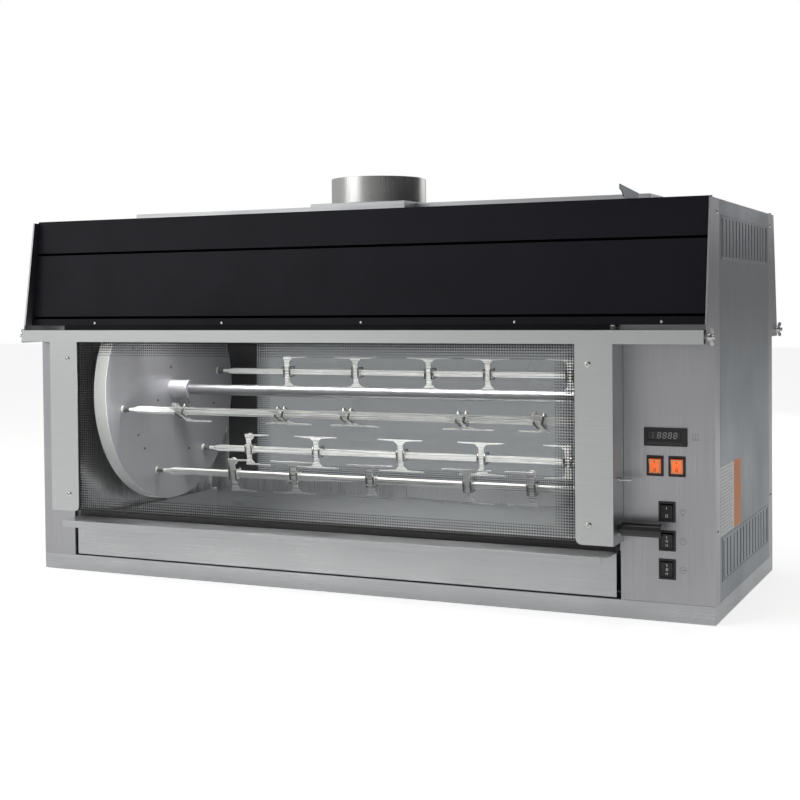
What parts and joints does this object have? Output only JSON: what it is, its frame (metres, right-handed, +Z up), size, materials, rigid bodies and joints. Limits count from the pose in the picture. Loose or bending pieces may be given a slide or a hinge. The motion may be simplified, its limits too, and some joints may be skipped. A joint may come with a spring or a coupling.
{
  "type": "gas rotisserie oven",
  "caption": "Countertop pass-through gas rotisserie with a planetary spit rotor, two swing-up glass doors, drip drawer, black hood and flue collar.",
  "frame": {"origin": "middle of the plinth's underside, which is also the bottom centre of the bounding box", "axes": "+X towards the control column, +Y towards the rear door, +Z up"},
  "size_m": [1.474, 0.676, 0.825],
  "materials": {
    "brushed_steel": "brushed, satin",
    "inner_steel": "2B mill finish",
    "door_steel": "fine brushed",
    "black_enamel": "semi-gloss black enamel",
    "flue_steel": "brushed",
    "fasteners": "bright",
    "cast_housing": "matt grey paint",
    "gear_steel": "machined",
    "bearing_bronze": "sintered",
    "burner_steel": "mill",
    "ceramic": null,
    "gas_brass": "satin",
    "lamp_glass": "clear over a bright holder",
    "black_plastic": "semi-gloss",
    "lit_amber": "lit, translucent",
    "handle_black": "gloss",
    "door_glass": "clear, tempered, with a dotted ceramic border",
    "rotor_steel": "turned, satin",
    "bright_steel": "polished, worn"
  },
  "bodies": {
    "casing": {"base_plinth": "brushed_steel", "left_cabinet": "brushed_steel", "right_cabinet": "brushed_steel", "side_panels": "brushed_steel", "left_inner_wall": "inner_steel", "right_inner_wall": "inner_steel", "ceiling_plate": "inner_steel", "hood_roof": "brushed_steel", "hood_panels": "black_enamel", "wings": "brushed_steel", "roof_duct": "brushed_steel", "flue_box": "brushed_steel", "flue_collar": "flue_steel", "panel_screws": "fasteners", "catch_brackets": "fasteners", "rear_lower_panel": "brushed_steel", "gear_motor": "cast_housing", "sun_gear": "gear_steel", "shaft_bearings": "bearing_bronze", "burners": "burner_steel", "burner_tiles": "ceramic", "gas_manifold": "gas_brass", "gas_valves": "gas_brass", "lamp": "lamp_glass", "controller": "black_plastic", "switch_bezels": "black_plastic", "door_pivots": "fasteners", "temperature_probe": "bright_steel", "terminal_block": "black_plastic", "cable_gland": "black_plastic"},
    "front_door": {"front_door_frame": "door_steel", "front_door_glass": "door_glass", "front_door_handle": "handle_black", "front_door_fasteners": "fasteners"},
    "rear_door": {"rear_door_frame": "door_steel", "rear_door_glass": "door_glass", "rear_door_handle": "handle_black", "rear_door_fasteners": "fasteners"},
    "drawer": {"drip_drawer": "brushed_steel"},
    "rotor": {"rotor_shaft": "rotor_steel", "left_disc": "rotor_steel", "right_disc": "rotor_steel"},
    "spit_body_1": {"spit_1": "bright_steel", "forks_1": "bright_steel"},
    "spit_body_2": {"spit_2": "bright_steel", "forks_2": "bright_steel"},
    "spit_body_3": {"spit_3": "bright_steel", "forks_3": "bright_steel"},
    "spit_body_4": {"spit_4": "bright_steel", "forks_4": "bright_steel"},
    "spit_body_5": {"spit_5": "bright_steel", "forks_5": "bright_steel"},
    "spit_body_6": {"spit_6": "bright_steel", "forks_6": "bright_steel"},
    "rocker_burner_front": {"rocker_burner_front": "lit_amber"},
    "rocker_burner_rear": {"rocker_burner_rear": "lit_amber"},
    "rocker_lamp": {"rocker_lamp": "black_plastic"},
    "rocker_ignition": {"rocker_ignition": "black_plastic"},
    "rocker_rotor": {"rocker_rotor": "black_plastic"}
  },
  "joints": [
    {"name": "front_door_swing", "type": "hinge", "parent": "casing", "child": "front_door", "pos_m": [0, -0.3235, 0.501], "axis": [-1, 0, 0], "range_deg": [0, 186]},
    {"name": "rear_door_swing", "type": "hinge", "parent": "casing", "child": "rear_door", "pos_m": [0, 0.3235, 0.501], "axis": [1, 0, 0], "range_deg": [0, 186]},
    {"name": "drawer_slide", "type": "slide", "parent": "casing", "child": "drawer", "axis": [0, -1, 0], "range_m": [0, 0.4]},
    {"name": "rotor_spin", "type": "hinge", "parent": "casing", "child": "rotor", "pos_m": [0, 0, 0.372], "axis": [1, 0, 0], "continuous": true},
    {"name": "spit_1_spin", "type": "hinge", "parent": "rotor", "child": "spit_body_1", "pos_m": [0, 0.18711, 0.40499], "axis": [1, 0, 0], "continuous": true},
    {"name": "spit_2_spin", "type": "hinge", "parent": "rotor", "child": "spit_body_2", "pos_m": [0, 0.06498, 0.55054], "axis": [1, 0, 0], "continuous": true},
    {"name": "spit_3_spin", "type": "hinge", "parent": "rotor", "child": "spit_body_3", "pos_m": [0, -0.12213, 0.51755], "axis": [1, 0, 0], "continuous": true},
    {"name": "spit_4_spin", "type": "hinge", "parent": "rotor", "child": "spit_body_4", "pos_m": [0, -0.18711, 0.33901], "axis": [1, 0, 0], "continuous": true},
    {"name": "spit_5_spin", "type": "hinge", "parent": "rotor", "child": "spit_body_5", "pos_m": [0, -0.06498, 0.19346], "axis": [1, 0, 0], "continuous": true},
    {"name": "spit_6_spin", "type": "hinge", "parent": "rotor", "child": "spit_body_6", "pos_m": [0, 0.12213, 0.22645], "axis": [1, 0, 0], "continuous": true},
    {"name": "rocker_burner_front_tilt", "type": "hinge", "parent": "casing", "child": "rocker_burner_front", "pos_m": [0.619, -0.27, 0.274], "axis": [-1, 0, 0], "range_deg": [0, 14]},
    {"name": "rocker_burner_rear_tilt", "type": "hinge", "parent": "casing", "child": "rocker_burner_rear", "pos_m": [0.658, -0.27, 0.274], "axis": [-1, 0, 0], "range_deg": [0, 14]},
    {"name": "rocker_lamp_tilt", "type": "hinge", "parent": "casing", "child": "rocker_lamp", "pos_m": [0.64, -0.27, 0.194], "axis": [-1, 0, 0], "range_deg": [0, 14]},
    {"name": "rocker_ignition_tilt", "type": "hinge", "parent": "casing", "child": "rocker_ignition", "pos_m": [0.64, -0.27, 0.143], "axis": [-1, 0, 0], "range_deg": [0, 14]},
    {"name": "rocker_rotor_tilt", "type": "hinge", "parent": "casing", "child": "rocker_rotor", "pos_m": [0.64, -0.27, 0.093], "axis": [-1, 0, 0], "range_deg": [-7, 7]}
  ],
  "couplings": [
    {"joint": "spit_1_spin", "follows": "rotor_spin", "ratio": 3.75},
    {"joint": "spit_2_spin", "follows": "rotor_spin", "ratio": 3.75},
    {"joint": "spit_3_spin", "follows": "rotor_spin", "ratio": 3.75},
    {"joint": "spit_4_spin", "follows": "rotor_spin", "ratio": 3.75},
    {"joint": "spit_5_spin", "follows": "rotor_spin", "ratio": 3.75},
    {"joint": "spit_6_spin", "follows": "rotor_spin", "ratio": 3.75}
  ]
}
